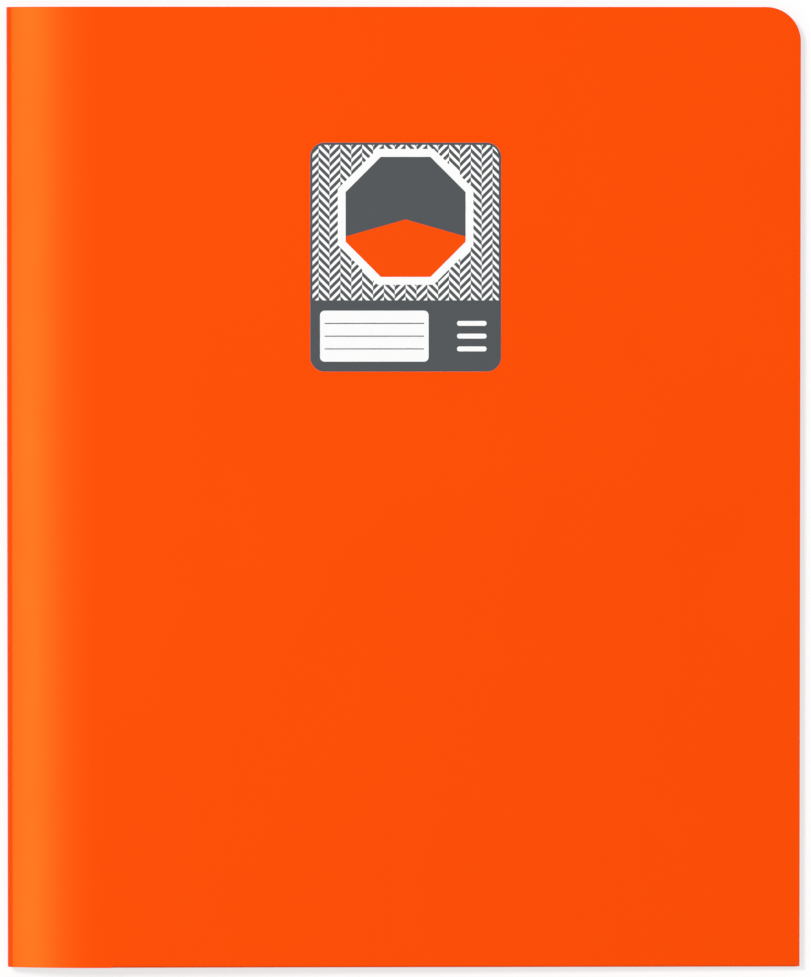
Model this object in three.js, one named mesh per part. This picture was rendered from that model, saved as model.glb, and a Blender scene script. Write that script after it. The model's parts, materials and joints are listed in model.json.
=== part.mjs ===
import * as THREE from "three";

// A two-pocket document portfolio for letter paper. One die-cut sheet of polypropylene is
// rolled round at the spine to make two covers, and its foot is folded up inside each cover
// and welded along the fore-edge to make a pocket. A paper label is stuck on the front.
//
// It lies closed on its back cover. +X runs from the spine to the fore-edge, +Y from the
// foot to the head, and +Z up through the front cover. The origin is under the middle of
// the closed folder. Sizes are in millimetres.

const radians = THREE.MathUtils.degToRad;

// The closed folder
const closedWidth = 241.3;
const closedHeight = 292.1;
const sheetThickness = 0.5;
const cornerRadius = 10.5;

// Clearances: along each fold line, and between two layers that lie on each other
const foldClearance = 0.3;
const layerClearance = 0.05;

// The rolled spine, seen from the foot, is three arcs: a heel that leaves the back cover, a
// tight nose, and a long shoulder that ends on the front cover
const heelRadius = 12;
const heelTurn = radians(20);
const shoulderRadius = 100;
const shoulderTilt = radians(14);
const coverSlope = radians(1.2);
const heelFacets = 1;
const noseFacets = 3;
const shoulderFacets = 2;

// The pockets, which start a margin beyond the last fold line of the spine
const pocketHeight = 101.6;
const pocketFoldMargin = 4;
const pocketForeEdgeInset = 0.8;
const pocketCutBack = 12;
const pocketCornerRadius = 8;
const pocketRoom = 0.6;
const restingGap = 0.4;
const weldWidth = 2.6;
const weldInset = 2.4;
const weldHeadMargin = 2;

// The label, whose middle is below the head by its drop and past the middle of the cover,
// towards the fore-edge, by its shift
const labelWidth = 58;
const labelHeight = 69.5;
const labelCornerRadius = 4.4;
const labelThickness = 0.12;
const labelDrop = 75.9;
const labelShift = 0.6;

// Steps in a rounded corner and in the bend at the foot of a pocket
const cornerSteps = 10;
const bendSteps = 8;

const polySheet = new THREE.MeshStandardMaterial({ color: 0xfb5000, roughness: 0.45, metalness: 0 });
const meltedPoly = new THREE.MeshStandardMaterial({ color: 0xe84a02, roughness: 0.3, metalness: 0 });
const labelPaper = new THREE.MeshStandardMaterial({ color: 0x54585b, roughness: 0.35, metalness: 0 });

// Heights of the middle of each sheet, up from the table
const backLevel = sheetThickness / 2;
const pocketDepth = pocketRoom + sheetThickness;
const frontLevelAtForeEdge = backLevel + 2 * pocketDepth + restingGap + sheetThickness;

// The nose's radius is the one that lets the front cover, at its slope, come down to its
// level at the fore-edge
const shoulderRise = shoulderRadius * (Math.cos(coverSlope) - Math.cos(shoulderTilt));
const shoulderRun = shoulderRadius * (Math.sin(shoulderTilt) + Math.sin(coverSlope));
const heelRise = heelRadius * (1 - Math.cos(heelTurn));
const heelRun = heelRadius * Math.sin(heelTurn);
const risePerNoseRadius = Math.cos(shoulderTilt) + Math.cos(heelTurn);
const runPerNoseRadius = 1 - Math.sin(shoulderTilt);
const noseRise =
  frontLevelAtForeEdge - backLevel - heelRise - shoulderRise +
  (closedWidth - backLevel - shoulderRun) * Math.tan(coverSlope);
const noseRadius = noseRise / (risePerNoseRadius + runPerNoseRadius * Math.tan(coverSlope));

// Distances of the first and last fold lines from the spine's outer face
const backFoldX = backLevel + noseRadius * (1 - Math.sin(heelTurn)) + heelRun;
const frontFoldX = backLevel + noseRadius * runPerNoseRadius + shoulderRun;
const backCoverLength = closedWidth - backFoldX;
const frontCoverLength = (closedWidth - frontFoldX) / Math.cos(coverSlope);

const footY = -closedHeight / 2;
const headY = closedHeight / 2;

// A closed shape through corners given as [x, y, radius], each rounded by its radius.
function outline(corners) {
  const points = [];
  corners.forEach(([x, y, radius = 0], index) => {
    const corner = new THREE.Vector2(x, y);
    if (radius === 0) {
      points.push(corner);
      return;
    }
    const previous = corners.at(index - 1);
    const next = corners[(index + 1) % corners.length];
    const towardsPrevious = new THREE.Vector2(previous[0] - x, previous[1] - y).normalize();
    const towardsNext = new THREE.Vector2(next[0] - x, next[1] - y).normalize();
    const halfAngle = Math.acos(towardsPrevious.dot(towardsNext)) / 2;
    const middle = towardsPrevious.clone().add(towardsNext).setLength(radius / Math.sin(halfAngle));
    const centre = corner.clone().add(middle);
    const start = towardsPrevious.clone().multiplyScalar(radius / Math.tan(halfAngle)).add(corner);
    const turn = (Math.PI - 2 * halfAngle) * Math.sign(towardsNext.cross(towardsPrevious));
    for (let step = 0; step <= cornerSteps; step++) {
      points.push(start.clone().rotateAround(centre, (turn * step) / cornerSteps));
    }
  });
  return new THREE.Shape(points);
}

function namedMesh(name, geometry, material) {
  const mesh = new THREE.Mesh(geometry, material);
  mesh.name = name;
  return mesh;
}

// A flat layer of the given shape. Its faces lie at depths measured inward from the middle
// of the cover's sheet, where inward is +1 for up and -1 for down.
function layer(name, shape, nearDepth, farDepth, inward, material) {
  const geometry = new THREE.ExtrudeGeometry(shape, { depth: farDepth - nearDepth, bevelEnabled: false });
  geometry.translate(0, 0, inward > 0 ? nearDepth : -farDepth);
  return namedMesh(name, geometry, material);
}

// The half-round bend along the foot, where the sheet turns up into the pocket.
function pocketBend(name, fromX, toX, bendRadius, inward) {
  const innerRadius = bendRadius - sheetThickness;
  const section = new THREE.Shape();
  section.absarc(0, 0, bendRadius, Math.PI / 2, (3 * Math.PI) / 2, false);
  section.absarc(0, 0, innerRadius, (3 * Math.PI) / 2, Math.PI / 2, true);
  const geometry = new THREE.ExtrudeGeometry(section, {
    depth: toX - fromX,
    curveSegments: bendSteps,
    bevelEnabled: false,
  });
  const alongX = new THREE.Matrix4().makeBasis(
    new THREE.Vector3(0, 1, 0),
    new THREE.Vector3(0, 0, 1),
    new THREE.Vector3(1, 0, 0),
  );
  geometry.applyMatrix4(alongX);
  geometry.translate(fromX, footY + bendRadius, inward * (sheetThickness + pocketRoom) / 2);
  return namedMesh(name, geometry, polySheet);
}

// A cover with its pocket, as a group whose origin is on the cover's fold line, in the
// middle of the sheet, with +X towards the fore-edge.
function coverWithPocket(side, foldX, length, inward) {
  const group = new THREE.Group();
  const bendRadius = (pocketRoom + 2 * sheetThickness) / 2;
  const bendY = footY + bendRadius;
  const pocketTopY = footY + pocketHeight;
  const pocketStartX = frontFoldX + pocketFoldMargin - foldX;
  const pocketEndX = length - pocketForeEdgeInset;
  const half = sheetThickness / 2;

  const coverShape = outline([
    [foldClearance / 2, footY],
    [pocketStartX - foldClearance, footY],
    [pocketStartX - foldClearance, bendY],
    [length, bendY],
    [length, headY, cornerRadius],
    [foldClearance / 2, headY],
  ]);
  group.add(layer(side + "_cover", coverShape, -half, half, inward, polySheet));
  group.add(pocketBend(side + "_pocket_fold", pocketStartX, pocketEndX, bendRadius, inward));

  // The pocket is held along its foot and its fore-edge, so its free corner lifts about a
  // line from the pocket's start at the foot to the top of the fore-edge
  const run = pocketEndX - pocketStartX;
  const rise = pocketTopY - bendY;
  const crease = Math.hypot(run, rise);
  const halfGapAlongFoot = (foldClearance * crease) / (2 * rise);
  const halfGapAlongEdge = (foldClearance * crease) / (2 * run);
  const panelNear = half + pocketRoom;
  const panelFar = panelNear + sheetThickness;
  const heldShape = outline([
    [pocketStartX + halfGapAlongFoot, bendY],
    [pocketEndX, bendY],
    [pocketEndX, pocketTopY - halfGapAlongEdge],
  ]);
  group.add(layer(side + "_pocket_panel", heldShape, panelNear, panelFar, inward, polySheet));

  const lift = new THREE.Group();
  lift.name = side + "_pocket_crease";
  lift.position.set(pocketStartX, bendY, inward * (panelNear + half));
  const cutStartY = halfGapAlongEdge / (1 - pocketCutBack / run);
  const cornerShape = outline([
    [(pocketCutBack * cutStartY) / rise, cutStartY],
    [run - halfGapAlongFoot, rise],
    [pocketCutBack, rise, pocketCornerRadius],
  ]);
  lift.add(layer(side + "_pocket_corner", cornerShape, -half, half, inward, polySheet));
  group.add(lift);

  const weldShape = outline([
    [length - weldInset - weldWidth, bendY],
    [length - weldInset, bendY],
    [length - weldInset, pocketTopY - weldHeadMargin],
    [length - weldInset - weldWidth, pocketTopY - weldHeadMargin],
  ]);
  const weldNear = half + layerClearance;
  const weldFar = panelNear - layerClearance;
  group.add(layer(side + "_pocket_weld", weldShape, weldNear, weldFar, inward, meltedPoly));
  return group;
}

// The stuck-on label, on the outside of the front cover.
function label(foldX) {
  const middleX = (closedWidth / 2 + labelShift - foldX) / Math.cos(coverSlope);
  const middleY = headY - labelDrop;
  const left = middleX - labelWidth / 2;
  const right = middleX + labelWidth / 2;
  const top = middleY + labelHeight / 2;
  const bottom = middleY - labelHeight / 2;
  const shape = outline([
    [left, bottom, labelCornerRadius],
    [right, bottom, labelCornerRadius],
    [right, top, labelCornerRadius],
    [left, top, labelCornerRadius],
  ]);
  const near = sheetThickness / 2 + layerClearance;
  return layer("cover_label", shape, near, near + labelThickness, 1, labelPaper);
}

// The straight facets that follow an arc whose heading falls from one angle to another.
function facets(name, radius, fromHeading, toHeading, count) {
  const turn = (fromHeading - toHeading) / count;
  return Array.from({ length: count }, (_, index) => ({
    name: count > 1 ? name + "_" + (index + 1) : name,
    length: 2 * radius * Math.sin(turn / 2),
    heading: fromHeading - (index + 0.5) * turn,
  }));
}

const spineFacets = [
  ...facets("spine_heel", heelRadius, Math.PI, Math.PI - heelTurn, heelFacets),
  ...facets("spine_nose", noseRadius, Math.PI - heelTurn, shoulderTilt, noseFacets),
  ...facets("spine_shoulder", shoulderRadius, shoulderTilt, -coverSlope, shoulderFacets),
];

// Each facet is a strip of the sheet in a group that turns about the fold line before it,
// so the groups form a chain from the back cover to the front cover.
function spineChain() {
  const chain = new THREE.Group();
  let holder = chain;
  let heading = 0;
  let reach = 0;
  function addFold(nextHeading) {
    const fold = new THREE.Group();
    fold.position.x = reach;
    fold.rotation.y = heading - nextHeading;
    holder.add(fold);
    holder = fold;
    heading = nextHeading;
    return fold;
  }
  for (const facet of spineFacets) {
    const fold = addFold(facet.heading);
    fold.name = facet.name + "_fold";
    const width = facet.length - foldClearance;
    const geometry = new THREE.BoxGeometry(width, closedHeight, sheetThickness);
    geometry.translate(facet.length / 2, 0, 0);
    fold.add(namedMesh(facet.name, geometry, polySheet));
    reach = facet.length;
  }
  const frontFold = addFold(-coverSlope);
  frontFold.name = "front_cover_fold";
  frontFold.add(coverWithPocket("front", frontFoldX, frontCoverLength, -1));
  frontFold.add(label(frontFoldX));
  return chain;
}

const folder = new THREE.Group();
const backCover = coverWithPocket("back", backFoldX, backCoverLength, 1);
const spine = spineChain();
folder.add(backCover, spine);
for (const part of [backCover, spine]) {
  part.position.set(backFoldX, 0, backLevel);
}

// The origin goes under the middle of the closed folder's box
const box = new THREE.Box3().setFromObject(folder);
folder.position.x = -(box.min.x + box.max.x) / 2;

export default folder;
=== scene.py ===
# %% [markdown]
# A two-pocket document portfolio, dressed for its picture
#
# The real folder is one sheet of satin polypropylene, half a millimetre thick. It is rolled
# round at the spine, its foot is folded up inside each cover, and each fold is melted to its
# cover along the fore-edge to make a pocket. A printed paper label is stuck on the front.
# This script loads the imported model, which knows where each part is and how it turns, and
# dresses it: finer meshes go in the places of its plain solids, and each gets its finish.

# %% Load the frame
import json
import math

import bmesh
import bpy
from mathutils import Matrix, Vector

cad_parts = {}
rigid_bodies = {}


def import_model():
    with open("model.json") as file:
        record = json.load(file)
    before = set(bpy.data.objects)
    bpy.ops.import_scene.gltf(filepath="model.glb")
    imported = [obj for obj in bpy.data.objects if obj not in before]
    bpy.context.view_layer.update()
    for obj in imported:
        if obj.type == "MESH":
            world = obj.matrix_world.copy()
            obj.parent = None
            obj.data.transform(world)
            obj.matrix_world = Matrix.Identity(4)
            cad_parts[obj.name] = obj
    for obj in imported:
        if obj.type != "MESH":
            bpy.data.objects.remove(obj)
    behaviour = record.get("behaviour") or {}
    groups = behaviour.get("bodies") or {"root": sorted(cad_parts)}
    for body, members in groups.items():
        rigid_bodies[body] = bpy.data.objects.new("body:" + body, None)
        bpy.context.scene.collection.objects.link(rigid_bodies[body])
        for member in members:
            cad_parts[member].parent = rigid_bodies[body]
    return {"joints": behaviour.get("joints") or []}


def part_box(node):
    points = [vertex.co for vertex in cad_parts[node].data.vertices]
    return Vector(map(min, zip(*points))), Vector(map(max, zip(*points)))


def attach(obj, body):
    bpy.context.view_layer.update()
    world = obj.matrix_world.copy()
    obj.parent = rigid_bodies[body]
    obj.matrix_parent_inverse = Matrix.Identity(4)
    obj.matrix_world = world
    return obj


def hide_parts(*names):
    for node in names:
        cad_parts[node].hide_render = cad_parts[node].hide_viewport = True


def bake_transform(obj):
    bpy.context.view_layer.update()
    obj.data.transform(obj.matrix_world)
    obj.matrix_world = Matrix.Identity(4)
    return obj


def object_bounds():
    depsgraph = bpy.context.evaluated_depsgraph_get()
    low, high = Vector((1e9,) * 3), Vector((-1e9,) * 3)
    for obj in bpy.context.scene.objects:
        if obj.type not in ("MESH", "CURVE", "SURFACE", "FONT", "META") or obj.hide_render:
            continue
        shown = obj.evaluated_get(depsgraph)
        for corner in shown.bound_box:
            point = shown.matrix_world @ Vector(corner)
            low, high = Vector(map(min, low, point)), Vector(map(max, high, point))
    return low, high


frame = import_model()
cad_low, cad_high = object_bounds()
MM = 0.001
print("closed folder, mm:", [round(side / MM, 2) for side in cad_high - cad_low])

# %% [markdown]
# The picture is taken from straight above, from far enough away that the folder's sides stay
# almost parallel. The folder is a very little wider at its head than at its foot, so the
# camera leans towards the head by about two degrees. A camera without perspective would miss
# that, and a short lens close by would spread the edges, so this is a long lens far off.

# %% Set up the camera
PHOTO_WIDTH = 811
PHOTO_HEIGHT = 977
PHOTO_SCALE = 0.3041 * MM
FOLDER_MIDDLE_IN_PHOTO = (403.85, 487.85)
CAMERA_DISTANCE = 2.5
CAMERA_LEAN = math.radians(1.8)
AIM_HEIGHT = 4.5 * MM

camera_data = bpy.data.cameras.new("photo_camera")
camera_data.lens = camera_data.sensor_width * CAMERA_DISTANCE / (PHOTO_HEIGHT * PHOTO_SCALE)
camera = bpy.data.objects.new("photo_camera", camera_data)
bpy.context.scene.collection.objects.link(camera)
bpy.context.scene.camera = camera

aim = Vector((
    (PHOTO_WIDTH / 2 - FOLDER_MIDDLE_IN_PHOTO[0]) * PHOTO_SCALE,
    (FOLDER_MIDDLE_IN_PHOTO[1] - PHOTO_HEIGHT / 2) * PHOTO_SCALE,
    AIM_HEIGHT,
))
backwards = Vector((0, math.sin(CAMERA_LEAN), math.cos(CAMERA_LEAN)))
camera.location = aim + backwards * CAMERA_DISTANCE
camera.rotation_euler.x = -CAMERA_LEAN
print("lens, mm:", round(camera_data.lens, 1))

# %% [markdown]
# No real surface is quite even, and a flat colour looks like a drawing of one. The unevenness
# could be painted as an image, but an image has seams and a fixed sharpness. Noise that is
# worked out in space has neither, and it runs on from one piece of the sheet to the next. Its
# size is given in metres, so each finish can say how large its own grain is. Values that are
# the same all over go on the shader itself, where an export keeps them.

# %% Start a finish and make its noise
EVEN_STRETCH = (1, 1, 1)
PLAIN_DETAIL = 2


def shader_material(name, roughness, tint, specular):
    """A new material with its shader's plain values set."""
    material = bpy.data.materials.new(name)
    material.use_nodes = True
    shader = material.node_tree.nodes["Principled BSDF"]
    shader.inputs["Roughness"].default_value = roughness
    shader.inputs["Specular Tint"].default_value = (*tint, 1)
    shader.inputs["Specular IOR Level"].default_value = specular
    return material, shader


def noise_in_space(tree, size, detail=PLAIN_DETAIL, stretch=EVEN_STRETCH):
    """A noise whose lumps are about the given size in metres, fixed to the piece."""
    coordinates = tree.nodes.new("ShaderNodeTexCoord")
    mapping = tree.nodes.new("ShaderNodeMapping")
    mapping.inputs["Scale"].default_value = stretch
    tree.links.new(coordinates.outputs["Object"], mapping.inputs["Vector"])
    noise = tree.nodes.new("ShaderNodeTexNoise")
    noise.inputs["Scale"].default_value = 1 / size
    noise.inputs["Detail"].default_value = detail
    tree.links.new(mapping.outputs["Vector"], noise.inputs["Vector"])
    return noise.outputs["Fac"]


print("a noise with lumps of 1 mm has the scale:", round(1 / MM))

# %% [markdown]
# A noise can change three things on a surface: its colour, its gloss, and its relief. Each has
# its own helper, because each is wired in another way. The values of a noise crowd round the
# middle, so the gloss helper spreads the range that they really use. The relief goes through
# a bump, because grain a few microns deep would need far more points than a mesh can have.

# %% Send a noise to colour, gloss or relief
NOISE_LOW = 0.3
NOISE_HIGH = 0.7


def vary(tree, factor, low, high, socket):
    """Sends a noise, spread between two values, to a socket."""
    spread = tree.nodes.new("ShaderNodeMapRange")
    spread.inputs["From Min"].default_value = NOISE_LOW
    spread.inputs["From Max"].default_value = NOISE_HIGH
    spread.inputs["To Min"].default_value = low
    spread.inputs["To Max"].default_value = high
    tree.links.new(factor, spread.inputs["Value"])
    tree.links.new(spread.outputs["Result"], socket)


def vary_colour(tree, factor, colour, share, socket):
    """Sends a colour that a noise darkens by up to the given share to a socket."""
    mix = tree.nodes.new("ShaderNodeMix")
    mix.data_type = "RGBA"
    mix.inputs["A"].default_value = (*colour, 1)
    mix.inputs["B"].default_value = (*(channel * (1 - share) for channel in colour), 1)
    tree.links.new(factor, mix.inputs["Factor"])
    tree.links.new(mix.outputs["Result"], socket)


def roughen(tree, factor, depth, shader):
    """Turns a noise into fine relief of the given depth in metres."""
    bump = tree.nodes.new("ShaderNodeBump")
    bump.inputs["Strength"].default_value = 1
    bump.inputs["Distance"].default_value = depth
    tree.links.new(factor, bump.inputs["Height"])
    tree.links.new(bump.outputs["Normal"], shader.inputs["Normal"])


print("a noise is spread from", NOISE_LOW, "to", NOISE_HIGH)

# %% [markdown]
# Polypropylene sheet comes off a roller that leaves a fine satin grain, a quarter of a
# millimetre across and only microns deep. A clear coat over a matt base could give the same
# sheen, but the real sheet is one plastic all through, so one rough layer is nearer. A slow
# noise shifts its gloss, stretched the way the sheet ran through the rollers, and a very slow
# one shifts its colour by a per cent or two. The reflections of a strongly coloured plastic
# under soft light look warm, so the specular tint is warm too.

# %% Make the satin sheet's finish
SHEET_COLOUR = (0.97, 0.0597, 0.0002)
SHEET_ROUGHNESS = 0.34
SHEET_SHEEN = 0.3
SHEET_SHEEN_TINT = (1.0, 1.0, 0.12)
COLOUR_LUMPS = 60 * MM
COLOUR_CHANGE = 0.02
GLOSS_LUMPS = 9 * MM
GLOSS_STRETCH = (1, 0.25, 1)
GLOSS_CHANGE = 0.01
GRAIN_SIZE = 0.25 * MM
GRAIN_DEPTH = 0.002 * MM


def sheet_finish(name, colour, roughness, grain_size, grain_depth):
    """A finish for plastic sheet, with its own grain."""
    material, shader = shader_material(name, roughness, SHEET_SHEEN_TINT, SHEET_SHEEN)
    tree = material.node_tree
    tone = noise_in_space(tree, COLOUR_LUMPS)
    vary_colour(tree, tone, colour, COLOUR_CHANGE, shader.inputs["Base Color"])
    gloss = noise_in_space(tree, GLOSS_LUMPS, stretch=GLOSS_STRETCH)
    least = roughness - GLOSS_CHANGE
    most = roughness + GLOSS_CHANGE
    vary(tree, gloss, least, most, shader.inputs["Roughness"])
    roughen(tree, noise_in_space(tree, grain_size), grain_depth, shader)
    return material


satin_sheet = sheet_finish("satin_sheet", SHEET_COLOUR, SHEET_ROUGHNESS, GRAIN_SIZE, GRAIN_DEPTH)
print("made:", satin_sheet.name)

# %% [markdown]
# Where two layers are melted together the grain is gone: the plastic has flowed under a hot
# bar, so it is glossier, a little darker, and faintly wavy. It could share the sheet's finish,
# but then the seam would hardly show. The same recipe serves, with a coarser noise.

# %% Make the melted seam's finish
MELTED_COLOUR = (0.84, 0.040, 0.0004)
MELTED_ROUGHNESS = 0.24
WAVE_SIZE = 0.9 * MM
WAVE_DEPTH = 0.004 * MM

melted_seam = sheet_finish("melted_seam", MELTED_COLOUR, MELTED_ROUGHNESS, WAVE_SIZE, WAVE_DEPTH)
print("made:", melted_seam.name)

# %% [markdown]
# The label is coated paper. Its coating is smooth but not glassy, with a faint unevenness
# from the fibres under it, and each ink lies on it as a film a few hundredths of a
# millimetre thick. The print could be one image on the paper, but then it would blur from
# near. Each ink gets its own finish instead, and one recipe makes the paper and all three.

# %% Make the paper's and the inks' finishes
PRINT_SHEEN = 0.3
WHITE_TINT = (1, 1, 1)
PAPER_LUMPS = 1.5 * MM
PAPER_CHANGE = 0.025
COATING_LUMPS = 4 * MM
COATING_CHANGE = 0.03
FIBRE_SIZE = 0.12 * MM
FIBRE_DEPTH = 0.001 * MM
FIBRE_DETAIL = 3
PAPER_WHITE = (0.94, 0.94, 0.93)
INK_GREY = (0.064, 0.073, 0.080)
INK_WHITE = (0.96, 0.96, 0.955)
INK_ORANGE = (0.94, 0.060, 0.001)
INK_ROUGHNESS = 0.45
PALE_ROUGHNESS = 0.5


def print_finish(name, colour, roughness, tint=WHITE_TINT):
    """A finish for paper, or for ink on it."""
    material, shader = shader_material(name, roughness, tint, PRINT_SHEEN)
    tree = material.node_tree
    tone = noise_in_space(tree, PAPER_LUMPS)
    vary_colour(tree, tone, colour, PAPER_CHANGE, shader.inputs["Base Color"])
    gloss = noise_in_space(tree, COATING_LUMPS)
    least = roughness - COATING_CHANGE
    most = roughness + COATING_CHANGE
    vary(tree, gloss, least, most, shader.inputs["Roughness"])
    roughen(tree, noise_in_space(tree, FIBRE_SIZE, FIBRE_DETAIL), FIBRE_DEPTH, shader)
    return material


coated_paper = print_finish("coated_paper", PAPER_WHITE, PALE_ROUGHNESS)
grey_ink = print_finish("grey_ink", INK_GREY, INK_ROUGHNESS)
white_ink = print_finish("white_ink", INK_WHITE, PALE_ROUGHNESS)
orange_ink = print_finish("orange_ink", INK_ORANGE, INK_ROUGHNESS, SHEET_SHEEN_TINT)
print("made:", coated_paper.name, grey_ink.name, white_ink.name, orange_ink.name)

# %% [markdown]
# A die-cut sheet has edges that are slightly rounded, because the blade pushes the plastic as
# it goes in. A bevel modifier could round them, but it would also round the places where one
# piece of the sheet runs on into the next. So each sheet is built up in loops, from one face
# to the other, and this profile says how far in each loop lies at the edge.

# %% Shape the sheet's edge
SHEET_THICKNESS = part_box("back_cover")[1].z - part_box("back_cover")[0].z
EDGE_RADIUS = 0.14 * MM
EDGE_STEPS = 4


def edge_profile():
    """The rounded edge of the sheet, from one face to the other, as (inset, height) pairs."""
    low = []
    for step in range(EDGE_STEPS + 1):
        angle = math.radians(90) * step / EDGE_STEPS
        height = EDGE_RADIUS * (1 - math.cos(angle)) - SHEET_THICKNESS / 2
        low.append((EDGE_RADIUS * (1 - math.sin(angle)), height))
    return low + [(inset, -height) for inset, height in reversed(low)]


print("sheet thickness, mm:", round(SHEET_THICKNESS / MM, 3))
print("loops in a sheet:", len(edge_profile()))

# %% [markdown]
# A cutting die is drawn as an outline: straight sides, some with a rounded corner between
# them. A curve object could hold it, but Blender gives all of a curve's edge one bevel. Here
# each side also says whether the die cuts it, or whether the sheet runs on there into its
# neighbour. A rounded corner becomes an arc of short steps round its centre.

# %% Draw an outline with rounded corners
CORNER_STEPS = 24


def rounded_outline(corners, joined=()):
    """The points of a closed outline with rounded corners, each with whether the side that
    leaves it is cut. Corners are (x, y) or (x, y, radius), and joined numbers the sides where
    the sheet runs on."""
    outline = []
    for index, corner in enumerate(corners):
        here = Vector(corner[:2])
        is_cut = index not in joined
        if len(corner) == 2:
            outline.append((here, is_cut))
            continue
        to_previous = (Vector(corners[index - 1][:2]) - here).normalized()
        to_next = (Vector(corners[(index + 1) % len(corners)][:2]) - here).normalized()
        half_angle = to_previous.angle(to_next) / 2
        centre = here + (to_previous + to_next).normalized() * corner[2] / math.sin(half_angle)
        start = here + to_previous * corner[2] / math.tan(half_angle) - centre
        turn = (math.pi - 2 * half_angle) * math.copysign(1, to_next.cross(to_previous))
        for step in range(CORNER_STEPS + 1):
            turned = Matrix.Rotation(turn * step / CORNER_STEPS, 2) @ start
            outline.append((centre + turned, is_cut or step < CORNER_STEPS))
    return outline


print("points round each rounded corner:", CORNER_STEPS + 1)

# %% [markdown]
# To round the edge, each loop of the sheet is the outline moved in by a little. Scaling it
# would move its sides by different amounts, so each side is moved along its own square-on
# direction instead, and two neighbours meet where their moved lines cross. A side where the
# sheet runs on stays where it is.

# %% Move the cut sides of an outline in
ALMOST_STRAIGHT = 1e-6


def inset_outline(outline, distance):
    """The outline's points with each cut side moved in by the distance. It runs leftwards."""
    moved = []
    for index, (point, is_cut) in enumerate(outline):
        before, before_is_cut = outline[index - 1]
        after = outline[(index + 1) % len(outline)][0]
        side_in = (point - before).normalized().orthogonal()
        side_out = (after - point).normalized().orthogonal()
        shift_in = distance if before_is_cut else 0
        shift_out = distance if is_cut else 0
        cross = side_in.cross(side_out)
        if abs(cross) < ALMOST_STRAIGHT:
            moved.append(point + side_in * shift_in)
            continue
        moved.append(point + Vector((
            (shift_in * side_out.y - shift_out * side_in.y) / cross,
            (shift_out * side_in.x - shift_in * side_out.x) / cross,
        )))
    return moved


square = rounded_outline([(0, 0), (10, 0), (10, 10), (0, 10)])
print("a 10 mm square moved in by 1 mm starts at:", inset_outline(square, 1)[0])

# %% [markdown]
# Now the loops become a solid. Each loop is joined to the next by a band of faces, and the
# first and last are closed by one broad face each. Extruding a flat face would be quicker,
# but it leaves square edges that never catch the light, and a folder shows its edges on all
# sides.

# %% Join loops into a flat sheet


def join_loops(solid, loops):
    """Joins loops of points into a closed tube with a face at each end."""
    for lower, upper in zip(loops, loops[1:]):
        for index in range(len(lower)):
            solid.faces.new((lower[index - 1], lower[index], upper[index], upper[index - 1]))
    solid.faces.new(loops[0])
    solid.faces.new(loops[-1])


def flat_sheet(corners, joined):
    """A closed flat sheet as a bmesh. Its heights run from inside to outside of the folder."""
    sheet = bmesh.new()
    outline = rounded_outline(corners, joined)
    loops = [
        [sheet.verts.new((point.x, point.y, height)) for point in inset_outline(outline, inset)]
        for inset, height in edge_profile()
    ]
    join_loops(sheet, loops)
    return sheet


tile = flat_sheet([(0, 0), (10 * MM, 0), (10 * MM, 10 * MM), (0, 10 * MM)], joined=())
print("points in a square tile of sheet:", len(tile.verts), "faces:", len(tile.faces))
tile.free()

# %% [markdown]
# Every piece ends the same way: its faces are turned outwards, it becomes an object, and its
# shading is smoothed. Plain smoothing lets a narrow rounded edge tilt the light on the
# broad face beside it, so weighted normals give the broad face its own way. Where one piece
# of the sheet runs on into the next, both end square, and such a turn is kept sharp: smoothed,
# it would show as a dark line across a sheet that is really whole.

# %% Turn a mesh into a finished piece
SHARP_TURN = math.radians(40)
BROAD_FACE_WEIGHT = 80


def finished_piece(name, solid, material, smooth=True):
    """Makes the object of a closed bmesh, which is used up."""
    bmesh.ops.recalc_face_normals(solid, faces=solid.faces)
    solid.normal_update()
    for edge in solid.edges:
        edge.smooth = edge.calc_face_angle(0) < SHARP_TURN
    mesh = bpy.data.meshes.new(name)
    solid.to_mesh(mesh)
    solid.free()
    mesh.materials.append(material)
    piece = bpy.data.objects.new(name, mesh)
    bpy.context.scene.collection.objects.link(piece)
    if smooth:
        mesh.polygons.foreach_set("use_smooth", [True] * len(mesh.polygons))
        weighted = piece.modifiers.new("broad faces lead", "WEIGHTED_NORMAL")
        weighted.keep_sharp = True
        weighted.weight = BROAD_FACE_WEIGHT
    return piece


print("turns kept sharp, degrees and over:", round(math.degrees(SHARP_TURN)))

# %% [markdown]
# The folds along the spine tell how the sheet bends. Each joint of the model sits on a line
# where two straight strips meet, and its range is the angle between them. On the real folder
# there are no strips, only one smooth roll, so each strip becomes an arc through the same
# two lines. An arc that turns by some angle leaves its ends half that angle off its chord,
# and that is enough to find every arc's turn from the joints, one after the other.

# %% Find the smooth roll of the spine
folds = [joint for joint in frame["joints"] if joint["name"].endswith("_fold")]
fold_points = [Vector((joint["pos_m"][0], joint["pos_m"][2])) for joint in folds]
fold_bends = [math.radians(joint["range_deg"][1]) for joint in folds]
cover_slope = sum(fold_bends) - math.pi

arc_turns = []
for bend in fold_bends[:-1]:
    arc_turns.append(2 * bend - (arc_turns[-1] if arc_turns else 0))


def roll_point(strip, share):
    """The middle of the sheet at a share of the way along a strip's arc, as its place in the
    plane of X and Z and the heading of the sheet there."""
    start = fold_points[strip]
    end = fold_points[strip + 1]
    turn = arc_turns[strip]
    radius = (end - start).length / (2 * math.sin(turn / 2))
    heading = math.pi - sum(arc_turns[:strip])
    centre = start + radius * Vector((math.sin(heading), -math.cos(heading)))
    heading -= turn * share
    return centre - radius * Vector((math.sin(heading), -math.cos(heading))), heading


print("arc turns, degrees:", [round(math.degrees(turn), 2) for turn in arc_turns])

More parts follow.
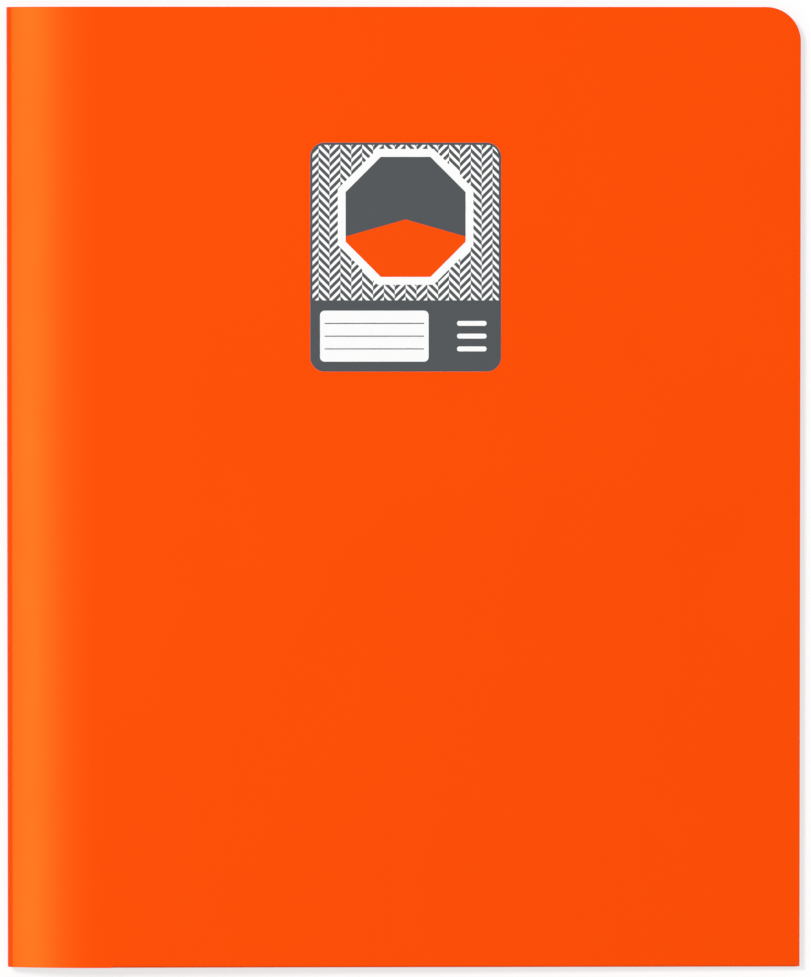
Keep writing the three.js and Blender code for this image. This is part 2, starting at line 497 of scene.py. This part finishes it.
# %% [markdown]
# The roll is made of one piece for each fold, from the middle of one arc to the middle of the
# next. The first and last pieces run a little way into the flat covers.

# %% Lay out the path of each piece of the roll
COVER_OVERLAP = 3 * MM
ARC_MIDDLE = 0.5
STEPS_IN_HALF_ARC = 14


def half_arc(strip, first_share):
    """Places along half a strip's arc, from a share of its way on."""
    return [
        roll_point(strip, first_share + ARC_MIDDLE * step / STEPS_IN_HALF_ARC)
        for step in range(STEPS_IN_HALF_ARC + 1)
    ]


def roll_path(fold):
    """Places along the sheet from the middle of the arc before a fold to that after it."""
    if fold == 0:
        cover_end = (fold_points[0] + Vector((COVER_OVERLAP, 0)), math.pi)
        return [cover_end] + half_arc(0, 0)
    before = half_arc(fold - 1, ARC_MIDDLE)
    if fold == len(folds) - 1:
        forwards = Vector((math.cos(cover_slope), -math.sin(cover_slope)))
        return before + [(fold_points[fold] + forwards * COVER_OVERLAP, -cover_slope)]
    return before + half_arc(fold, 0)[1:]


print("places along each piece of the roll:", [len(roll_path(fold)) for fold in range(len(folds))])

# %% [markdown]
# Each piece of the roll is a section of the sheet, from foot to head, carried along its path.
# A curve with a bevel shape could do this too, but it turns its section as it likes. Here
# each section stands square to the sheet, so that neighbours meet without a step. The rounded
# edge is the same profile as on the flat sheets, so it runs on into the covers.

# %% Carry the sheet's section along a path
folder_low, folder_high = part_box("spine_nose_2")


def sheet_section():
    """The sheet cut across from foot to head, as (y, height) pairs round its outline."""
    profile = edge_profile()
    foot = [(folder_low.y + inset, height) for inset, height in profile]
    head = [(folder_high.y - inset, height) for inset, height in reversed(profile)]
    return foot + head


def rolled_sheet(fold):
    """The closed piece of the roll round one fold, as a bmesh."""
    sheet = bmesh.new()
    loops = []
    for place, heading in roll_path(fold):
        outwards = Vector((-math.sin(heading), 0, math.cos(heading)))
        middle = Vector((place.x, 0, place.y))
        loops.append([
            sheet.verts.new(middle + outwards * height + Vector((0, y, 0)))
            for y, height in sheet_section()
        ])
    join_loops(sheet, loops)
    return sheet


print("foot to head, mm:", round((folder_high.y - folder_low.y) / MM, 1))

# %% [markdown]
# A polypropylene spine opens by unrolling: it is soft where it is rolled tight, and it hardly
# moves where it is almost flat. Here each fold gets its piece of the roll, and the imported
# model's plain strips on either side of that fold are hidden.

# %% Build the rolled spine


for number, fold in enumerate(folds):
    roll = finished_piece(
        fold["name"].replace("_fold", "_roll"), rolled_sheet(number), satin_sheet
    )
    path = roll_path(number)
    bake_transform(roll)
    strips = [name for name in (fold["parent"], fold["child"]) if name.startswith("spine_")]
    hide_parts(*strips)

# %% [markdown]
# The two covers are the same sheet in two places: the back one lies level with its outside
# down, and the front one lies on its slope with its outside up. Each could be modelled where
# it lies, but a slope makes every number awkward. So everything on a cover is drawn flat, as
# the die cuts it, and this class then takes each point to its place.

# %% Say where each cover lies
class Side:
    """One cover's place: how points drawn flat on it, as distance from its fold line, height
    up the page, and depth outwards from the middle of the sheet, go into the model."""

    def __init__(self, name, origin, along, outwards):
        self.name = name
        self.origin = Vector((origin.x, 0, origin.y))
        self.along = along
        self.outwards = outwards
        self.length = self.distance(cad_high.x - abs(outwards.x) * SHEET_THICKNESS / 2)
        self.pocket_start, self.pocket_end = self.ends(name + "_pocket_fold")
        self.seam_start, self.seam_end = self.ends(name + "_pocket_weld")

    def distance(self, model_x):
        """How far a place in the model lies from the fold line, measured along the cover."""
        return (model_x - self.origin.x) / self.along.x

    def ends(self, node):
        """The distances at which a node of the model starts and ends."""
        return [self.distance(corner.x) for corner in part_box(node)]

    def place(self, x, y, depth):
        """The place in the model of a point drawn flat."""
        return self.origin + self.along * x + Vector((0, y, 0)) + self.outwards * depth


back = Side("back", fold_points[0], Vector((1, 0, 0)), Vector((0, 0, -1)))
front = Side(
    "front", fold_points[-1],
    Vector((math.cos(cover_slope), 0, -math.sin(cover_slope))),
    Vector((math.sin(cover_slope), 0, math.cos(cover_slope))),
)
print("front cover slopes by, degrees:", round(math.degrees(cover_slope), 2))

# %% [markdown]
# Only one corner of a cover is rounded, at the head of the fore-edge. Along the foot the cover
# runs on into the pocket's fold, with a small tab left beyond each end of it. Cutting the fold
# from a finished rectangle with a boolean would leave ragged faces, so the tabs are corners of
# the outline. The die only slits the sheet there, so the tab and the fold touch, and neither
# is rounded.

# %% Build the two covers
CORNER_RADIUS = 10.5 * MM
SLIT = 0.01 * MM

foot_y = folder_low.y
head_y = folder_high.y
bend_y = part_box("back_pocket_panel")[0].y


def cover_corners(side):
    """The cover's outline as the die cuts it, from the spine round to the spine again."""
    tab_foot = foot_y + EDGE_RADIUS
    return [
        (COVER_OVERLAP, foot_y),
        (side.pocket_start - SLIT, foot_y),
        (side.pocket_start - SLIT, bend_y),
        (side.pocket_end + SLIT, bend_y),
        (side.pocket_end + SLIT, tab_foot),
        (side.length, tab_foot),
        (side.length, head_y, CORNER_RADIUS),
        (COVER_OVERLAP, head_y),
    ]


for side in (back, front):
    sheet = flat_sheet(cover_corners(side), joined=(1, 2, 3, 7))
    for point in sheet.verts:
        point.co = side.place(*point.co)
    cover = finished_piece(side.name + "_cover_sheet", sheet, satin_sheet)
    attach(cover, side.name)
    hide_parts(side.name + "_cover")
    print(cover.name, "length, mm:", round(side.length / MM, 2))

# %% [markdown]
# A pocket is the same sheet, turned up round the foot and laid inside the cover. It is drawn
# unrolled, as the die cuts it, and then wrapped: the first few millimetres go round the bend,
# and the rest lies flat. Near the fore-edge it is pressed down until it meets the cover, and
# that is the dip that holds the seam. A lattice or a bend modifier could do either, but a
# formula puts each point where it belongs and can be checked.

# %% Wrap a pocket round the foot
DIP_WIDTH = 4 * MM
DIP_START_ABOVE_FOOT = 2 * MM
SEAM_AIR = 0.02 * MM

pocket_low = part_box("back_pocket_panel")[0]
pocket_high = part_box("back_pocket_corner")[1]
pocket_room = pocket_low.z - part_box("back_cover")[1].z
pocket_rise = pocket_high.y - bend_y
bend_radius = (pocket_room + SHEET_THICKNESS) / 2
bend_length = math.pi * bend_radius


def smoothstep(value):
    """A rise from nought to one that starts and ends level."""
    value = min(max(value, 0), 1)
    return value * value * (3 - 2 * value)


def dip(x, above_bend, side):
    """How far the pocket is pressed down towards its cover."""
    across = smoothstep((x - side.seam_start + DIP_WIDTH) / DIP_WIDTH)
    up = smoothstep((above_bend - DIP_START_ABOVE_FOOT) / DIP_WIDTH)
    return (pocket_room - SEAM_AIR) * across * up


def wrap(x, length, depth, side):
    """Takes a point of the unrolled pocket to its place on the cover."""
    if length < bend_length:
        angle = length / bend_radius
        reach = bend_radius + depth
        return x, bend_y - reach * math.sin(angle), reach * math.cos(angle) - bend_radius
    above_bend = length - bend_length
    return x, bend_y + above_bend, dip(x, above_bend, side) - 2 * bend_radius - depth


print("pocket bends at a radius of, mm:", round(bend_radius / MM, 3))

# %% [markdown]
# A mesh bends only where it has points, and the flat pocket has points only round its
# outline. Subdividing all of it would add many that nothing needs. Instead extra lines are
# cut across it just where it curves: round the bend, over the dip, and along the band where
# its free corner lifts. The lift's direction is square to the crease that the corner turns on.

# %% Cut lines where the pocket curves
CUT_BACK = 12 * MM
POCKET_CORNER_RADIUS = 8 * MM
BEND_STEPS = 20
DIP_STEPS = 8
LIFT_WIDTH = 10 * MM
LIFT_STEPS = 8


def cut_across(sheet, point, direction, count, spacing):
    """Cuts a row of parallel lines across a sheet, from a point on in a direction."""
    for step in range(count + 1):
        bmesh.ops.bisect_plane(
            sheet,
            geom=sheet.verts[:] + sheet.edges[:] + sheet.faces[:],
            plane_co=(*(point + direction * spacing * step), 0),
            plane_no=(*direction, 0),
        )


def pocket_sheet(side):
    """A pocket in its place, as a bmesh, and the direction in which its corner lifts off."""
    top = bend_length + pocket_rise
    sheet = flat_sheet(
        [
            (side.pocket_start, 0),
            (side.pocket_end, 0),
            (side.pocket_end, bend_length),
            (side.pocket_end, top),
            (side.pocket_start + CUT_BACK, top, POCKET_CORNER_RADIUS),
            (side.pocket_start, bend_length),
        ],
        joined=(0, 1, 5),
    )
    across = Vector((1, 0))
    up = Vector((0, 1))
    cut_across(sheet, Vector((0, 0)), up, BEND_STEPS, bend_length / BEND_STEPS)
    dip_foot = Vector((0, bend_length + DIP_START_ABOVE_FOOT))
    dip_side = Vector((side.seam_start - DIP_WIDTH, 0))
    cut_across(sheet, dip_foot, up, DIP_STEPS, DIP_WIDTH / DIP_STEPS)
    cut_across(sheet, dip_side, across, DIP_STEPS, DIP_WIDTH / DIP_STEPS)
    crease_start = Vector((side.pocket_start, bend_length))
    lift = Vector((-pocket_rise, side.pocket_end - side.pocket_start)).normalized()
    cut_across(sheet, crease_start, lift, LIFT_STEPS, LIFT_WIDTH / LIFT_STEPS)
    for point in sheet.verts:
        point.co = side.place(*wrap(*point.co, side))
    return sheet, lift


print("pocket rises above the foot, mm:", round(pocket_rise / MM, 1))

# %% [markdown]
# On the real folder a pocket's free corner springs up a little when papers push at it, and
# the rest is held by the seam and the fold. The imported model has a joint for that along the
# diagonal crease. A stiff corner on a hinge would leave a hard line, so the pocket is one
# sheet, with lines cut across a band as wide as a finger along the crease. Here it is built as
# it lies at rest, and the imported pocket's three plain solids are hidden.

# %% Build the two pockets
for side in (back, front):
    sheet, lift = pocket_sheet(side)
    pocket = finished_piece(side.name + "_pocket_sheet", sheet, satin_sheet)
    middle_depth = -2 * bend_radius
    lift_start = side.place(side.pocket_start, bend_y, middle_depth)
    lift_end = side.place(
        side.pocket_start + lift.x * LIFT_WIDTH, bend_y + lift.y * LIFT_WIDTH, middle_depth
    )
    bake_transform(pocket)
    held = [side.name + "_pocket_" + part for part in ("fold", "panel", "corner")]
    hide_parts(*held)
    print(pocket.name, "height, mm:", round((pocket_high.y - foot_y) / MM, 1))

# %% [markdown]
# The seam is made by a hot bar with ribs across it. It leaves a shallow ladder of melted
# plastic on the pocket. A bump could fake it, but seen from low down the ribs catch the light
# one by one, so they are real: a strip whose height goes up and down along it.

# %% Lay out the ribs of a seam
SEAM_HEIGHT = 0.1 * MM
SEAM_GROOVE = 0.03 * MM
RIB_PITCH = 1.6 * MM
RIB_TOP_SHARE = 0.6
RIB_SLOPE_SHARE = 0.15

seam_low_y = bend_y + DIP_START_ABOVE_FOOT + DIP_WIDTH
seam_high_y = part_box("back_pocket_weld")[1].y


def rib_rows(low_y, high_y):
    """Rows along a seam as (y, height) pairs, with a flat top and a flat groove to each rib."""
    count = round((high_y - low_y) / RIB_PITCH)
    pitch = (high_y - low_y) / count
    rows = [(low_y, 0)]
    slope = pitch * RIB_SLOPE_SHARE
    for rib in range(count):
        start = low_y + rib * pitch
        top_end = start + pitch * RIB_TOP_SHARE
        rows += [
            (start + slope, SEAM_HEIGHT),
            (top_end - slope, SEAM_HEIGHT),
            (top_end, SEAM_GROOVE),
            (start + pitch, SEAM_GROOVE),
        ]
    rows[-1] = (high_y, 0)
    return rows


print("rows of points along a seam:", len(rib_rows(seam_low_y, seam_high_y)))

# %% [markdown]
# The strip is the seam's cross-section, a low table with sloping sides, repeated at each row.
# Its underside is sunk a little into the pocket, as melted plastic is, because two faces in
# the same plane would flicker. The facets are left unsmoothed, since a rib is pressed by a
# milled bar and has crisp edges.

# %% Build the melted seams
SEAM_SINK = 0.03 * MM
SEAM_EDGE = 0.25 * MM


def seam_strip(side):
    """A ribbed strip that lies on the pressed part of a pocket."""
    low_x = side.seam_start
    high_x = side.seam_end
    pressed_face = -(SHEET_THICKNESS / 2 + SEAM_AIR + SHEET_THICKNESS)
    strip = bmesh.new()
    loops = []
    for y, height in rib_rows(seam_low_y, seam_high_y):
        section = [
            (low_x, -SEAM_SINK), (low_x, 0), (low_x + SEAM_EDGE, height),
            (high_x - SEAM_EDGE, height), (high_x, 0), (high_x, -SEAM_SINK),
        ]
        loops.append([strip.verts.new(side.place(x, y, pressed_face - rise)) for x, rise in section])
    join_loops(strip, loops)
    return strip


for side in (back, front):
    seam = finished_piece(
        side.name + "_pocket_seam", seam_strip(side), melted_seam, smooth=False
    )
    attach(seam, side.name)
    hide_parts(side.name + "_pocket_weld")
    print(seam.name, "length, mm:", round((seam_high_y - seam_low_y) / MM, 1))

# %% [markdown]
# The label is stuck to the front cover, so it is drawn flat, from its own middle, and laid on
# the cover's slope. Its print is a plain design: a grey ground, a woven herringbone in white,
# an eight-sided badge with an orange foot, and a ruled box to write in. Each ink is a thin
# layer of its own, because edges cut in the mesh stay crisp however near the camera comes,
# and a later ink lies on the earlier ones as it does in a press.

# %% Make one layer of the label
label_low, label_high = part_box("cover_label")
label_width = (label_high.x - label_low.x) / front.along.x
label_height = label_high.y - label_low.y
label_x = front.distance((label_low.x + label_high.x) / 2)
label_y = (label_low.y + label_high.y) / 2
cover_face = SHEET_THICKNESS / 2


def layer(name, outlines, bottom, top, material):
    """Closed flat shapes of one ink or paper, drawn from the label's middle, between two
    heights above the cover."""
    solid = bmesh.new()
    for outline in outlines:
        loops = [
            [
                solid.verts.new(front.place(label_x + x, label_y + y, cover_face + height))
                for x, y in outline
            ]
            for height in (bottom, top)
        ]
        join_loops(solid, loops)
    piece = finished_piece(name, solid, material, smooth=False)
    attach(piece, "front")
    return piece


print("label, mm:", round(label_width / MM, 1), "by", round(label_height / MM, 1))

# %% [markdown]
# The paper is die-cut with four rounded corners. A bevelled cube could give them, but the same
# outline helper that draws the covers draws this box too, and later the printed ground, the
# herringbone's field and the writing box, each with its own radii.

# %% Lay down the label's paper
LABEL_RADIUS = 4.4 * MM
PAPER_THICKNESS = 0.1 * MM

half_width = label_width / 2
half_height = label_height / 2


def rounded_box(low_x, low_y, high_x, high_y, *radii):
    """A box with a radius for each corner, from the lower left one round to the upper left."""
    corners = [(low_x, low_y), (high_x, low_y), (high_x, high_y), (low_x, high_y)]
    rounded = [(*corner, radius) if radius else corner for corner, radius in zip(corners, radii)]
    return [tuple(point) for point, _ in rounded_outline(rounded)]


paper = layer(
    "label_paper_sheet",
    [rounded_box(-half_width, -half_height, half_width, half_height, *[LABEL_RADIUS] * 4)],
    0, PAPER_THICKNESS, coated_paper,
)
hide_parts("cover_label")
print("points round the paper:", len(paper.data.vertices) // 2)

# %% [markdown]
# The first ink is a grey ground over the whole paper. It stops a hair before the edge, too
# little to show as a white rim, because two sides in one plane would flicker where they meet.
# Each ink starts half a film below the top of the one under it, so that no two faces lie in
# the same plane.

# %% Print the ground
INK = 0.012 * MM
PRINT_MARGIN = 0.015 * MM

print_radius = LABEL_RADIUS - PRINT_MARGIN
ground_height = PAPER_THICKNESS + INK
ground = layer(
    "label_ground",
    [rounded_box(
        -half_width + PRINT_MARGIN, -half_height + PRINT_MARGIN,
        half_width - PRINT_MARGIN, half_height - PRINT_MARGIN, *[print_radius] * 4,
    )],
    PAPER_THICKNESS - INK / 2, ground_height, grey_ink,
)
print(ground.name, "lies above the cover by, mm:", round(ground_height / MM, 3))

# %% [markdown]
# A pattern has to stop at the sides of its field. A boolean modifier could cut a hundred bars
# at once, but it is slow and it sometimes fails on thin shapes. As the field is convex, each
# bar can be trimmed by one side of it after the other: what lies outside that side is cut off
# in a straight line. The badge uses the same helper.

# %% Trim one shape by another


def trimmed(outline, field):
    """The part of one convex outline that lies within another, which runs leftwards."""
    for start, end in zip(field, field[1:] + field[:1]):
        side = Vector(end) - Vector(start)
        kept = []
        for index, point in enumerate(outline):
            before = Vector(outline[index - 1])
            here = Vector(point)
            in_before = side.cross(before - Vector(start))
            in_here = side.cross(here - Vector(start))
            if (in_before > 0) != (in_here > 0):
                share = in_before / (in_before - in_here)
                kept.append(tuple(before.lerp(here, share)))
            if in_here > 0:
                kept.append(tuple(here))
        outline = kept
    return outline


triangle = [(0, 0), (2, 0), (0, 2)]
print("a square trimmed to a triangle:", trimmed([(0, 0), (1, 0), (1, 1.5), (0, 1.5)], triangle))

# %% [markdown]
# A herringbone is slanted bars in columns, every other column leaning the other way and
# shifted by half a step. A wave or brick texture comes near it, but their slants never quite
# meet at the column's edge, and here both bars end at the same height.

# %% Print the herringbone
FOOTER_HEIGHT = 21.6 * MM
FIELD_MARGIN = 0.7 * MM
COLUMN_WIDTH = 3.3 * MM
BAR_STEP = 2.5 * MM
BAR_HEIGHT = 1.2 * MM


def herringbone(field, low_x, low_y, high_x, high_y):
    """The slanted bars that cover a box, each trimmed to the field."""
    bars = []
    columns = math.ceil((high_x - low_x) / COLUMN_WIDTH)
    rows = math.ceil((high_y - low_y + COLUMN_WIDTH) / BAR_STEP) + 1
    first_x = (low_x + high_x - columns * COLUMN_WIDTH) / 2
    for column in range(columns):
        left = first_x + column * COLUMN_WIDTH
        right = left + COLUMN_WIDTH
        leans_up = column % 2 == 0
        first_y = low_y - COLUMN_WIDTH + (0 if leans_up else BAR_STEP / 2)
        rise = COLUMN_WIDTH if leans_up else -COLUMN_WIDTH
        for row in range(rows):
            left_y = first_y + row * BAR_STEP + max(-rise, 0)
            right_y = left_y + rise
            bar = trimmed(
                [
                    (left, left_y), (right, right_y),
                    (right, right_y + BAR_HEIGHT), (left, left_y + BAR_HEIGHT),
                ],
                field,
            )
            if bar:
                bars.append(bar)
    return bars


field_low = -half_height + FOOTER_HEIGHT
field_sides = (
    -half_width + FIELD_MARGIN, field_low, half_width - FIELD_MARGIN, half_height - FIELD_MARGIN,
)
field_radius = LABEL_RADIUS - FIELD_MARGIN
field = rounded_box(*field_sides, 0, 0, field_radius, field_radius)
bars = herringbone(field, *field_sides)
pattern_height = ground_height + INK
layer("label_herringbone", bars, ground_height - INK / 2, pattern_height, white_ink)
print("herringbone bars:", len(bars))

# %% [markdown]
# The badge is an octagon: a white one, a smaller grey one on it, and an orange foot with a
# peaked top on that. The foot could be drawn corner by corner, but a roof shape trimmed by the
# grey octagon, with the helper that trimmed the bars, always shares its edge.

# %% Print the badge
BADGE_MIDDLE = 12.2 * MM
BADGE_RADIUS = 20.6 * MM
BADGE_BORDER = 2.4 * MM
PEAK_HEIGHT = 11.45 * MM
EAVES_HEIGHT = 3.2 * MM
BADGE_SIDES = 8


def octagon(radius):
    """An octagon with a flat top, by the distance from its middle to its sides."""
    corner = radius / math.cos(math.pi / BADGE_SIDES)
    angles = [math.pi * (2 * index + 1) / BADGE_SIDES for index in range(BADGE_SIDES)]
    return [(corner * math.cos(angle), BADGE_MIDDLE + corner * math.sin(angle)) for angle in angles]


badge_height = pattern_height + INK
badge_border = octagon(BADGE_RADIUS)
layer("label_badge_border", [badge_border], pattern_height - INK / 2, badge_height, white_ink)
badge_face = octagon(BADGE_RADIUS - BADGE_BORDER)
face_height = badge_height + INK
layer("label_badge_face", [badge_face], badge_height - INK / 2, face_height, grey_ink)
roof = [
    (-half_width, -half_height), (half_width, -half_height),
    (half_width, EAVES_HEIGHT), (0, PEAK_HEIGHT), (-half_width, EAVES_HEIGHT),
]
peaked_foot = trimmed(badge_face, roof)
layer("label_badge_foot", [peaked_foot], face_height - INK / 2, face_height + INK, orange_ink)
print("badge across its flats, mm:", round(2 * BADGE_RADIUS / MM, 1))

# %% [markdown]
# Below the herringbone the ground is left plain for a white box with three ruled lines, where
# the folder's owner writes what it holds. Three short marks balance it on the other side.
# Lines drawn as curves would need a thickness of their own, so they are thin boxes like the
# rest. A rule is a third of a millimetre thick, about as fine as such a label prints.

# %% Print the writing box and the marks
BOX_WIDTH = 33 * MM
BOX_HEIGHT = 15.5 * MM
BOX_RADIUS = 1.4 * MM
BOX_INSET = 3 * MM
RULE_HEIGHT = 0.3 * MM
RULE_COUNT = 3
MARK_WIDTH = 9 * MM
MARK_HEIGHT = 1.5 * MM
MARK_RADIUS = 0.7 * MM

box_left = -half_width + BOX_INSET
box_right = box_left + BOX_WIDTH
box_low = -half_height + BOX_INSET
mark_right = half_width - BOX_INSET - BOX_RADIUS
layer(
    "label_writing_box",
    [rounded_box(box_left, box_low, box_right, box_low + BOX_HEIGHT, *[BOX_RADIUS] * 4)],
    ground_height - INK / 2, pattern_height, white_ink,
)
rules = []
marks = []
for line in range(1, RULE_COUNT + 1):
    line_y = box_low + line * BOX_HEIGHT / (RULE_COUNT + 1)
    low_y = line_y - RULE_HEIGHT / 2
    high_y = line_y + RULE_HEIGHT / 2
    rules.append(rounded_box(box_left + BOX_RADIUS, low_y, box_right - BOX_RADIUS, high_y, *[0] * 4))
    low_y = line_y - MARK_HEIGHT / 2
    high_y = line_y + MARK_HEIGHT / 2
    marks.append(rounded_box(mark_right - MARK_WIDTH, low_y, mark_right, high_y, *[MARK_RADIUS] * 4))
layer("label_rules", rules, pattern_height - INK / 2, pattern_height + INK, grey_ink)
layer("label_marks", marks, ground_height - INK / 2, pattern_height, white_ink)
print("label layers reach, mm above the cover:", round((face_height + INK) / MM, 3))

# %% [markdown]
# The folder is lit mostly by the world, evenly and at a level at which a colour renders about
# as it is written. The backdrop has to be white, but a world bright enough to look white
# would wash the orange out. So the world has two strengths: rays that light the folder meet
# the lower one, and rays that show what is behind it, or mirror it, meet plain white.

# %% Light the folder evenly
WORLD_LEVEL = 0.65

world = bpy.data.worlds.new("studio")
bpy.context.scene.world = world
world.use_nodes = True
sky = world.node_tree
sky.nodes.clear()


def seen_or_mirrored(tree):
    """One for rays that show what is behind the object, and nought for those that light it."""
    path = tree.nodes.new("ShaderNodeLightPath")
    total = path.outputs["Is Camera Ray"]
    for kind in ("Is Glossy Ray", "Is Transmission Ray"):
        either = tree.nodes.new("ShaderNodeMath")
        either.operation = "MAXIMUM"
        tree.links.new(total, either.inputs[0])
        tree.links.new(path.outputs[kind], either.inputs[1])
        total = either.outputs["Value"]
    return total


lighting = sky.nodes.new("ShaderNodeBackground")
lighting.inputs["Strength"].default_value = WORLD_LEVEL
backdrop = sky.nodes.new("ShaderNodeBackground")
choose = sky.nodes.new("ShaderNodeMixShader")
sky_output = sky.nodes.new("ShaderNodeOutputWorld")
sky.links.new(seen_or_mirrored(sky), choose.inputs["Fac"])
sky.links.new(lighting.outputs["Background"], choose.inputs[1])
sky.links.new(backdrop.outputs["Background"], choose.inputs[2])
sky.links.new(choose.outputs["Shader"], sky_output.inputs["Surface"])
bpy.context.scene.view_settings.view_transform = "Standard"
print("world level on the folder:", WORLD_LEVEL)

# %% [markdown]
# The bright band down the spine is the mirror image of a long light. A lamp straight above
# would put its glare on the flat cover too, and a sun has no width to spread. So one long soft
# box hangs over the spine side, turned so that the slope of the roll, and not the flat cover,
# throws its light up to the camera. It leans a hair towards the foot, as the camera leans
# towards the head, and so the band is even. Only mirrored rays see it.

# %% Hang the long soft box
LAMP_TILT = math.radians(25)
LAMP_DISTANCE = 6
LONG_BOX_WATTS = 195
LONG_BOX_WIDTH = 0.84
LONG_BOX_LENGTH = 4
LONG_BOX_LEAN = -0.03

spine_middle = Vector((fold_points[-2].x, 0, fold_points[-2].y))


def soft_box(name, width, length, watts, lean):
    """A lamp that hangs over the spine side and faces the spine. A positive lean moves it
    towards the head."""
    lamp = bpy.data.lights.new(name, "AREA")
    lamp.shape = "RECTANGLE"
    lamp.size = width
    lamp.size_y = length
    lamp.energy = watts
    box = bpy.data.objects.new(name, lamp)
    bpy.context.scene.collection.objects.link(box)
    to_box = Vector((-math.sin(LAMP_TILT), lean, math.cos(LAMP_TILT))).normalized()
    box.location = spine_middle + to_box * LAMP_DISTANCE
    across = Vector((0, 1, 0)).cross(to_box).normalized()
    along = to_box.cross(across)
    box.rotation_euler = Matrix((across, along, to_box)).transposed().to_euler()
    print(name, "stands at, m:", [round(value, 2) for value in box.location])
    return box


long_box = soft_box(
    "long_soft_box", LONG_BOX_WIDTH, LONG_BOX_LENGTH, LONG_BOX_WATTS, LONG_BOX_LEAN,
)
long_box.visible_diffuse = False

# %% [markdown]
# The folder throws a short soft shadow to the fore-edge and to the foot. The long box can't
# cast both, because it would have to lean so far to the head that its mirror image left the
# spine. So a second, smaller box casts them. It has the same tilt, so that it models the roll
# as the long one would, and mirrored rays don't see it, so that it puts no glare anywhere.

# %% Hang the small soft box
SMALL_BOX_WATTS = 214
SMALL_BOX_SIZE = 1.2
SMALL_BOX_LEAN = 0.36

small_box = soft_box(
    "small_soft_box", SMALL_BOX_SIZE, SMALL_BOX_SIZE, SMALL_BOX_WATTS, SMALL_BOX_LEAN,
)
small_box.visible_glossy = False

# %% [markdown]
# The folder lies on a plain pale floor that fades into the backdrop. A white floor alone would
# throw its light back up at the folder, and a shadow catcher would need a second picture. So
# the paint itself is a mid grey that takes the shadow, and a glow is added to it that only
# the camera and mirrored rays see. Together they look white, and only the shadow is darker.

# %% Lay the floor
FLOOR_SIZE = 8.0
FLOOR_WHITE = 0.34
FLOOR_LIFT = 0.66
FLOOR_DROP = 0.05 * MM

floor_mesh = bmesh.new()
bmesh.ops.create_grid(floor_mesh, x_segments=1, y_segments=1, size=FLOOR_SIZE / 2)
floor_data = bpy.data.meshes.new("floor")
floor_mesh.to_mesh(floor_data)
floor_mesh.free()
floor = bpy.data.objects.new("floor", floor_data)
floor.location.z = -FLOOR_DROP
bpy.context.scene.collection.objects.link(floor)

floor_paint = bpy.data.materials.new("pale_floor")
floor_paint.use_nodes = True
paint = floor_paint.node_tree
paint.nodes.clear()
matt = paint.nodes.new("ShaderNodeBsdfDiffuse")
matt.inputs["Color"].default_value = (FLOOR_WHITE, FLOOR_WHITE, FLOOR_WHITE, 1)
glow = paint.nodes.new("ShaderNodeEmission")
lift_level = paint.nodes.new("ShaderNodeMath")
lift_level.operation = "MULTIPLY"
lift_level.inputs[1].default_value = FLOOR_LIFT
paint.links.new(seen_or_mirrored(paint), lift_level.inputs[0])
paint.links.new(lift_level.outputs["Value"], glow.inputs["Strength"])
together = paint.nodes.new("ShaderNodeAddShader")
floor_output = paint.nodes.new("ShaderNodeOutputMaterial")
paint.links.new(matt.outputs["BSDF"], together.inputs[0])
paint.links.new(glow.outputs["Emission"], together.inputs[1])
paint.links.new(together.outputs["Shader"], floor_output.inputs["Surface"])
floor_data.materials.append(floor_paint)
print("floor lies below the folder by, mm:", round(FLOOR_DROP / MM, 2))

# %% [markdown]
# Last, the imported model's own box is printed once more. Dressing the model never changes
# its size.

# %% Print the model's size and finish
print("packed, mm:", [round(side / MM, 2) for side in cad_high - cad_low])
